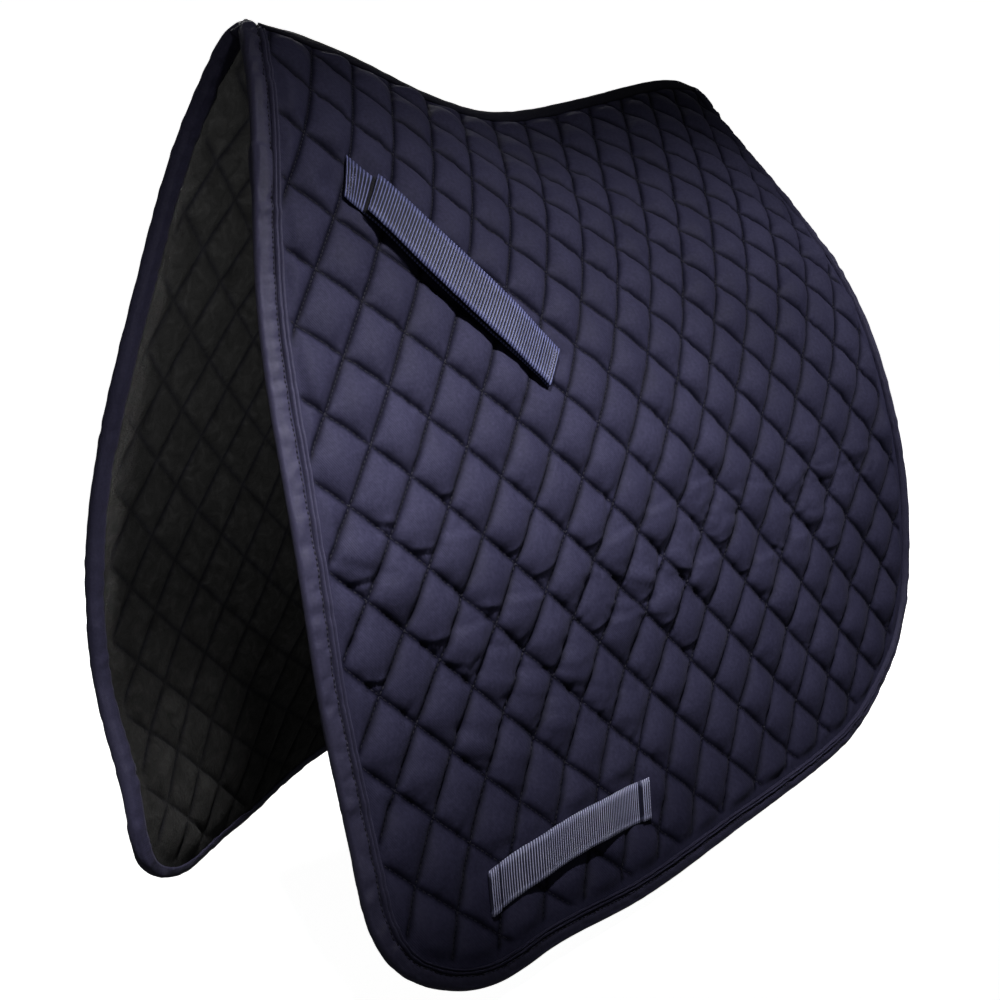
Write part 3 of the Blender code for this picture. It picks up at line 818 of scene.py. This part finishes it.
def quilting_thread(prefix, side):
    runs = []
    for axis in (0, 1):
        span = np.arange(-22 * 24, 35 * 24 + 1) / 24
        for k in range(-22, 35):
            line = np.full(len(span), float(k))
            i, j = (line, span) if axis == 0 else (span, line)
            y, t = cloth_at(i, j)
            box = (y > -405) & (y < 290) & (t > 15) & (t < 605)
            edge = inset_of(np.where(box, y, 0), np.where(box, t, 0))
            ok = box & (edge > 13.8)
            for part in np.split(np.arange(len(y)), np.flatnonzero(np.diff(ok.astype(int)) != 0) + 1):
                if len(part) < 4 or not ok[part[0]]:
                    continue
                ij = np.stack([i[part], j[part]], -1)
                h = relief(ij, y[part], t[part], edge[part], side, "out") + 0.10
                runs.append(run_along(y[part], t[part], h, side, 3.4, 0.80))
    return stitches(prefix + "quilting_thread", runs, 0.38, THREAD)


# ------------------------------------------------------------------ edge trims
FRONT_TURN = chord[len(FRONT_EDGE)]
REAR_TURN = chord[len(FRONT_EDGE) + 1 + len(BOTTOM_EDGE)]
JOIN_AT = 112.0


def narrow(s):
    """The trims lie narrower along the bottom and the rear."""
    return 1 - 0.24 * smooth((s - FRONT_TURN + 60) / 130) * smooth((EDGE_LENGTH - 60 - s) / 120)


def bind_wave(s, q, side):
    """Fine gathers of the edge tape."""
    seed = 61 if side > 0 else 71
    apex = bump((s - 15) / 45) + bump((s - (EDGE_LENGTH - 15)) / 45)
    corner = bump((s - FRONT_TURN) / 80) + 0.7 * bump((s - REAR_TURN) / 90)
    fine = lattice_noise(s / 6.5 + q * 0.09, q / 9 + 3, seed) * (0.80 + 0.55 * corner + 1.0 * apex)
    sewn = lattice_noise(s / 3.1 + q * 0.16, 5.0, seed + 2) * 0.60 * bump((q - BIND_OUT) / 6.0)
    return fine + sewn + lattice_noise(s / 34, q / 30 + 1, seed + 1) * 0.5


def tape_profile():
    """Section of the folded edge tape: from the outer flange round the edge to the inner flange, then back inside."""
    skin = []
    for u in np.linspace(0, 1, 9):
        skin.append((BIND_OUT + (0.2 - BIND_OUT) * u, -0.35 + 0.75 * math.sin(math.pi * min(1, u * 1.05)) - 0.5 * u**3))
    for ang in np.linspace(12, 168, 7):
        a = math.radians(ang)
        skin.append((0.2 - 2.1 * math.sin(a), -4.85 + 4.1 * math.cos(a)))
    for u in np.linspace(0, 1, 6):
        skin.append((0.2 + (BIND_IN - 0.2) * u, -9.7 - 0.35 * math.sin(math.pi * u)))
    skin = np.array(skin)
    d = np.gradient(skin, axis=0)
    d /= np.linalg.norm(d, axis=1, keepdims=True)
    normal = np.stack([-d[:, 1], d[:, 0]], -1)
    if normal[0, 1] < 0:
        normal = -normal
    return skin, normal


def binding(prefix, side):
    step = 2.0
    s = np.linspace(0, EDGE_LENGTH, int(EDGE_LENGTH / step))
    skin, normal = tape_profile()
    profile = np.concatenate([skin, (skin - normal * 0.8)[::-1]])
    points = []
    for k, (q, z) in enumerate(profile):
        # the tape's own end lies over its start a little below the withers
        over = smooth((s - JOIN_AT - 0.35 * (q - 4)) / 1.2) * (1 - smooth((s - JOIN_AT - 9) / 26)) if side > 0 else 0 * s
        p = pattern_at(s, (q * narrow(s) if q > 1 and z > -8 else q) - 0.9 * over * (q < 2))
        lift = bind_wave(s, q, side) + 1.3 * over
        share = 1.0 if k < 9 or k > len(profile) - 10 else (-0.6 if z < -8 else 0.5)
        points.append(place(p[:, 0], p[:, 1], z + lift * share, side, cut=1.0 if z > -3 else 9.5))
    return ribbon(prefix + "binding_tape", np.stack(points, 1), TAPE)


def spine_wrap(name, rear):
    """The edge tape carried over the spine from one half to the other."""
    skin, normal = tape_profile()
    reach = np.array((9.0, 6.5, 4.2, 2.2, 0.8, 0.0))
    wave = lattice_noise(np.r_[reach, -reach[::-1]] / 3.0, 4.0, 151 + rear) * 0.35
    rings = []
    for k, (side, r) in enumerate([(1, r) for r in reach] + [(-1, r) for r in reach[::-1]]):
        ring = []
        for q, z in np.concatenate([skin + normal * (0.5 + 0.4 * wave[k]), (skin - normal * 0.2)[::-1]]):
            p = pattern_at(np.array([EDGE_LENGTH - r if rear else r]), np.array([q]))
            ring.append(place(p[:, 0], p[:, 1], np.array([z]), side, cut=1.0 if z > -3 else 9.5)[0])
        rings.append(ring)
    rings = np.array(rings)
    middle = (rings[len(reach) - 1] + rings[len(reach)]) / 2
    rings = np.concatenate([rings[: len(reach)], middle[None], rings[len(reach) :]])
    return ribbon(name, rings, TAPE)


def binding_thread(prefix, side):
    s = np.linspace(6, EDGE_LENGTH - 6, 900)
    p = pattern_at(s, 6.9 * narrow(s))
    ok = p[:, 1] > 14
    h = 0.16 + bind_wave(s, 6.9, side)
    return stitches(prefix + "binding_thread", [run_along(p[ok, 0], p[ok, 1], h[ok], side, 3.3, 0.72)], 0.46, THREAD)


def piping(prefix, side):
    step = 3.0
    s = np.linspace(14, EDGE_LENGTH - 14, int(EDGE_LENGTH / step))
    top = []
    for u in np.linspace(0, 1, 19):
        hump = abs(math.sin(2 * math.pi * u)) ** 0.75
        top.append((PIPE_IN + PIPE_WIDTH * u, -1.1 + (2.7 if u < 0.5 else 2.35) * hump + (0.25 if 0 < u < 1 else 0)))
    points = []
    wander = 0.45 * lattice_noise(s / 45, 2, 83)
    for q, z in top + [(q, -2.0) for q, _ in reversed(top)]:
        wave = bind_wave(s, q * 0.3, side) * 0.8 + 0.12 * lattice_noise(s / 3.4, 9, 5)
        p = pattern_at(s, (q + wander) * narrow(s))
        points.append(place(p[:, 0], p[:, 1], z + (wave if z > -1.9 else 0), side, cut=1.2))
    return ribbon(prefix + "twin_piping", np.stack(points, 1), TAPE)


def spine_tape(prefix, side):
    y = np.linspace(-279, 261, 180)
    us = np.linspace(0, 1, 8)
    profile = [(0.2 + 12 * u, 0.75 + 0.25 * math.sin(math.pi * u) - 0.9 * u**4) for u in us]
    profile += [(0.2 + 12 * u, -1.4 - 0.3 * u) for u in us[::-1]]
    points = []
    for t, z in profile:
        edge = 0.7 * lattice_noise(y / 16, t / 9, 91) if t > 9 else 0
        wave = 0.22 * lattice_noise(y / 9, t / 7, 92)
        points.append(place(y - 0.45 * t, t + edge, z + (wave if z > 0 else 0), side, cut=0.0))
    return ribbon(prefix + "spine_tape_fold", np.stack(points, 1), SPINE_MAT)


# ------------------------------------------------------------------ webbing
RIB_PITCH = 2.0


def strap(name, start, end, span, width, height, thick, side, material=None, ribs=True, skew=0.29, sag=0.0, tilt=0.0, shadow_spans=()):
    """A length of webbing with woven ribs across it; height is its middle's height over the cloth."""
    along, across = axes_of(start, end)
    length = float(np.linalg.norm(end - start))
    count = max(8, int((span[1] - span[0]) / RIB_PITCH * (9 if ribs else 2.0)))
    s = np.linspace(*span, count)
    q = np.linspace(-0.5, 0.5, 11)
    rib = np.sin(np.pi * s / RIB_PITCH) ** 2 if ribs else np.ones(count)
    # painted shadow: in these spans the ribs are left off and the webbing takes the darkest groove shade, for the
    # shaded fold gap beside a keeper tab
    for a, b in shadow_spans:
        rib = np.where((s > a) & (s < b), 0.0, rib)
    hump = np.sin(np.pi * np.clip(s / length, 0, 1))
    rings, rib_shading = [], []
    for up, order in ((1, q), (-1, q[::-1])):
        for u in order:
            body = smooth((0.5 - abs(u)) / 0.035)
            edge_wave = 0.22 * lattice_noise(s / 5.0, u * 3, 131) * (abs(u) > 0.45)
            at = s - (skew + 0.22 * bump(s / 12) * (0.2 < skew < 0.4)) * u * width
            yt = start + at[:, None] * along + (u * width + edge_wave - sag * hump)[:, None] * across
            amp = (0.42 if ribs else 0.0) * rib * (0.55 + 0.45 * body)
            half = thick / 2 * (0.35 + 0.65 * body)
            rings.append(place(yt[:, 0], yt[:, 1], height(s) + tilt * (u + 0.3) * hump + (half + amp if up > 0 else -half - amp * 0.6), side))
            # painted light and shade for the webbing: the rib phase sets the groove shade, and the edge rows never go
            # below half, a painted highlight along both selvages
            rib_shading.append(rib if abs(u) < 0.39 else 0.5 + 0.5 * rib)
    obj = ribbon(name, np.stack(rings, 1), material or WEBBING)
    mark(obj, "rib", np.stack(rib_shading, 1))
    return obj


def strap_under(s):
    # lifts quickly at the sewn upper end and comes down slowly to the lower one
    return -0.5 + (STRAP_STAND_OFF - 4.8) * smooth((s - 2) / 32) * np.sin(np.pi / 2 * np.clip((STRAP_LENGTH - 3 - s) / (STRAP_LENGTH - 52), 0, 1))


def strap_pieces(prefix, side):
    grid = np.linspace(0, STRAP_LENGTH, 25)
    hinge = grid[22]
    ends = (STRAP_START, STRAP_END)
    on_base = lambda s: strap_under(s) + 1.5
    over = lambda s: on_base(s) + 3.1 - 1.5 * smooth((s - hinge + 24) / 24)
    lie = {"sag": 5.0, "tilt": 4.5}
    base = strap(prefix + "strap_lower_web", *ends, (0.3, STRAP_LENGTH), STRAP_WIDTH, lambda s: strap_under(s) + 0.75, 1.0, side, **lie)
    loop = strap(prefix + "strap_loop_pile", *ends, (grid[3] - 4.6, grid[19]), 28.2, lambda s: on_base(s) + 0.55, 0.6, side, TOUCH, False, **lie)
    hook = strap(prefix + "strap_hook_pile", *ends, (grid[6], grid[19]), 25.0, lambda s: on_base(s) + 1.65, 0.6, side, TOUCH, False, **lie)
    tongue = strap(prefix + "strap_tongue_web", *ends, (grid[3] - 3.4, hinge + 0.4), STRAP_WIDTH, lambda s: over(s) + 0.9 * smooth((grid[3] + 9 - s) / 12), 1.0, side, **lie)
    turn = strap(prefix + "strap_end_web", *ends, (hinge + 0.5, STRAP_LENGTH + 0.6), STRAP_WIDTH, over, 1.0, side, **lie)
    runs = []
    along, across = axes_of(*ends)
    for s_at, top in ((4.5, on_base), (STRAP_LENGTH - 3.0, lambda s: over(s) + 0.75)):
        for off in (-0.8, 0.8):
            q = np.linspace(-0.42, 0.42, 40) * STRAP_WIDTH
            yt = STRAP_START + (s_at + off - 0.29 * q)[:, None] * along + q[:, None] * across
            runs.append(run_along(yt[:, 0], yt[:, 1], np.full(40, float(top(np.array(s_at + off))) + 0.05), side, 2.4, 0.85))
    tack = stitches(prefix + "strap_tack_thread", runs, 0.32, WEB_THREAD)
    return base, loop, hook, tongue, turn, tack


def keeper_under(s):
    return -0.4 + (KEEPER_STAND_OFF - 4.0) * smooth((s - 11) / 40) * smooth((KEEPER_LENGTH - 11 - s) / 40)


def keeper_pieces(prefix, side):
    ends = (KEEPER_START, KEEPER_END)
    along, across = axes_of(*ends)
    # the pale keeper band, painted dark as shadow in the fold gaps beside its tabs
    band = strap(prefix + "keeper_web", *ends, (0.0, KEEPER_LENGTH), KEEPER_WIDTH, lambda s: keeper_under(s) + 0.75, 1.0, side, KEEPER_WEB, skew=0.55, sag=7.0, shadow_spans=((7.2, 10.6), (KEEPER_LENGTH - 10.6, KEEPER_LENGTH - 7.2)))
    tabs, runs = [], []
    for name, (a, b) in (("front", (0.4, 7.4)), ("rear", (KEEPER_LENGTH - 7.4, KEEPER_LENGTH - 0.4))):
        tabs.append(strap(prefix + "keeper_fold_" + name, *ends, (a, b), KEEPER_WIDTH + 0.6, lambda s: keeper_under(s) + 2.2, 0.9, side, KEEPER_WEB, skew=0.55, sag=7.0))
        for s_at in (a + 1.0, b - 1.0):
            q = np.linspace(-0.44, 0.44, 40) * KEEPER_WIDTH
            yt = KEEPER_START + (s_at - 0.55 * q)[:, None] * along + (q - 7.0 * math.sin(math.pi * s_at / KEEPER_LENGTH))[:, None] * across
            h = float(keeper_under(np.array(s_at))) + 3.0
            runs.append(run_along(yt[:, 0], yt[:, 1], np.full(40, h), side, 2.2, 0.85))
    tack = stitches(prefix + "keeper_tack_thread", runs, 0.42, WEB_THREAD)
    return band, tabs, tack


def seam_tape():
    y = np.linspace(-262, 240, 120)

    def skin(depth):
        out = []
        for u in np.linspace(-1, 1, 15):
            wing = place(y, np.maximum(30.0 * abs(u), mitre(y, depth)), -depth, 1)
            keel = np.stack([0 * y + abs(u) * 10, y, spine_height(y) + ORIGIN_DROP - depth / np.cos(top_slope(y)) + 0.8 - abs(u) * 9], -1)
            w = smooth((abs(u) * 30.0 - 8) / 9)
            out.append((wing * w + keel * (1 - w)) * (np.sign(u) if u else 1, 1, 1))
        return out

    return ribbon("seam_tape_web", np.stack(skin(11.3) + skin(12.0)[::-1], 1), SPINE_MAT)


# ------------------------------------------------------------------ build both halves
def joint(obj):
    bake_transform(obj)
    return obj


LININGS = []
for prefix, side in (("left_", 1), ("right_", -1)):
    flap = prefix + "flap"
    shell = outer_panel(prefix, side)
    fleece_side = lining(prefix, side)
    LININGS.append(fleece_side)
    fill = wadding(prefix, side)
    bind = binding(prefix, side)
    pipe = piping(prefix, side)
    tape = spine_tape(prefix, side)
    thread = quilting_thread(prefix, side)
    bind_thread = binding_thread(prefix, side)
    for o, n in ((shell, "outer_panel"), (fleece_side, "lining"), (fill, "wadding"), (bind, "binding"), (pipe, "piping"), (tape, "spine_tape")):
        joint(o)
        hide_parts(prefix + n)
    joint(thread)
    joint(bind_thread)
    base, loop, hook, tongue, turn, tack = strap_pieces(prefix, side)
    for o, n in ((base, ("strap_base",)), (loop, ("strap_loop_tape",)), (tack, ("strap_tack_upper", "strap_tack_lower"))):
        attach(o, flap)
        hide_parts(*(prefix + x for x in n))
    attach(turn, flap)
    for o, n in ((hook, "strap_hook_tape"), (tongue, "strap_tongue")):
        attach(o, prefix + "tongue")
        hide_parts(prefix + n)
    band, tabs, tack = keeper_pieces(prefix, side)
    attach(band, flap)
    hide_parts(prefix + "keeper")
    for o, n in zip(tabs, ("keeper_tab_front", "keeper_tab_rear")):
        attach(o, flap)
        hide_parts(prefix + n)
    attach(tack, flap)

for wrap in (spine_wrap("front_spine_wrap", False), spine_wrap("rear_spine_wrap", True)):
    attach(wrap, "spine")
seam = seam_tape()
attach(seam, "spine")
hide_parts("seam_tape")

# ------------------------------------------------------------------ stage
FLOOR_Z = -0.5330


def studio_bowl():
    """A pale floor that sweeps up into a backdrop all round."""
    rings = ((2.0, 0.0), (4.0, 0.0), (5.0, 0.12), (5.6, 0.5), (5.9, 1.1), (6.0, 2.0), (6.0, 7.0))
    seg = 64
    points, faces = [(0, 0, FLOOR_Z)], []
    for r, h in rings:
        for k in range(seg):
            a = 2 * math.pi * k / seg
            points.append((r * math.cos(a), r * math.sin(a), FLOOR_Z + h))
    for k in range(seg):
        faces.append((0, 1 + k, 1 + (k + 1) % seg))
    for ring in range(len(rings) - 1):
        o = 1 + ring * seg
        for k in range(seg):
            q = (k + 1) % seg
            faces.append((o + k, o + seg + k, o + seg + q, o + q))
    mesh = bpy.data.meshes.new("studio_floor")
    mesh.from_pydata(points, [], faces)
    mesh.polygons.foreach_set("use_smooth", np.ones(len(mesh.polygons), bool))
    obj = bpy.data.objects.new("studio_floor", mesh)
    bpy.context.scene.collection.objects.link(obj)
    m, nodes, links, b = shader("studio_white", (0.9, 0.9, 0.9), 1.0, 0.0)
    b.inputs["Emission Color"].default_value = (1, 1, 1, 1)
    b.inputs["Emission Strength"].default_value = 0.97
    mesh.materials.append(m)
    obj.visible_diffuse = False
    obj.visible_glossy = False
    obj.visible_transmission = False
    obj.visible_shadow = False


studio_bowl()

world = bpy.data.worlds.new("studio")
bpy.context.scene.world = world
world.use_nodes = True
world.node_tree.nodes["Background"].inputs["Color"].default_value = (1, 1, 1, 1)
world.node_tree.nodes["Background"].inputs["Strength"].default_value = 0.05


def aim(obj, place_at, target):
    d = np.subtract(target, place_at)
    d = d / np.linalg.norm(d)
    r = np.cross(d, (0, 0, 1.0))
    r /= np.linalg.norm(r)
    u = np.cross(r, d)
    obj.matrix_world = Matrix(((r[0], u[0], -d[0], place_at[0]), (r[1], u[1], -d[1], place_at[1]), (r[2], u[2], -d[2], place_at[2]), (0, 0, 0, 1)))


def light(name, kind, place_at, target, power, colour=(1, 1, 1), wide=1.0, **values):
    data = bpy.data.lights.new(name, kind)
    data.energy = power
    data.color = colour
    for k, v in values.items():
        setattr(data, k, v)
    obj = bpy.data.objects.new(name, data)
    bpy.context.scene.collection.objects.link(obj)
    aim(obj, place_at, target)
    obj.matrix_world = obj.matrix_world @ Matrix.Diagonal((wide, 1, 1, 1))
    return obj


light("key", "SPOT", (0.78, -0.66, 0.98), (0.13, -0.395, -0.192), 158.0, (1.0, 0.985, 0.97), wide=5.9, spot_size=math.radians(8.9), spot_blend=0.8, shadow_soft_size=0.09)
light("second", "SPOT", (1.40, -0.30, 1.02), (0.13, 0.150, -0.202), 130.0, (1.0, 0.985, 0.97), wide=4.6, spot_size=math.radians(13.7), spot_blend=1.0, shadow_soft_size=0.09)
lamp = light("inside", "SPOT", (0.55, -0.95, -0.10), (-0.18, -0.28, -0.02), 33.0, wide=0.5, spot_size=math.radians(46), spot_blend=1.0, shadow_soft_size=0.15)
lit = bpy.data.collections.new("linings")
for o in LININGS:
    lit.objects.link(o)
lamp.light_linking.receiver_collection = lit
light("back", "AREA", (-1.5, 0.9, 0.9), (0.0, 0.0, -0.15), 30.0, shape="RECTANGLE", size=1.2, size_y=1.2)

# ------------------------------------------------------------------ camera
camera = bpy.data.cameras.new("camera")
camera.sensor_width = 36.0
camera.sensor_fit = "HORIZONTAL"
camera.lens = 36.0 * 1.26771
camera.clip_start = 0.01
camera.clip_end = 50.0
cam = bpy.data.objects.new("camera", camera)
bpy.context.scene.collection.objects.link(cam)
R = (0.7708, 0.6248, -0.12447)
U = (0.01015, 0.18332, 0.983)
F = (-0.637, 0.75896, -0.13496)
P = (0.62629, -0.84723, -0.14683)
cam.matrix_world = Matrix(((R[0], U[0], -F[0], P[0]), (R[1], U[1], -F[1], P[1]), (R[2], U[2], -F[2], P[2]), (0, 0, 0, 1)))
bpy.context.scene.camera = cam
bpy.context.scene.view_settings.view_transform = "Standard"
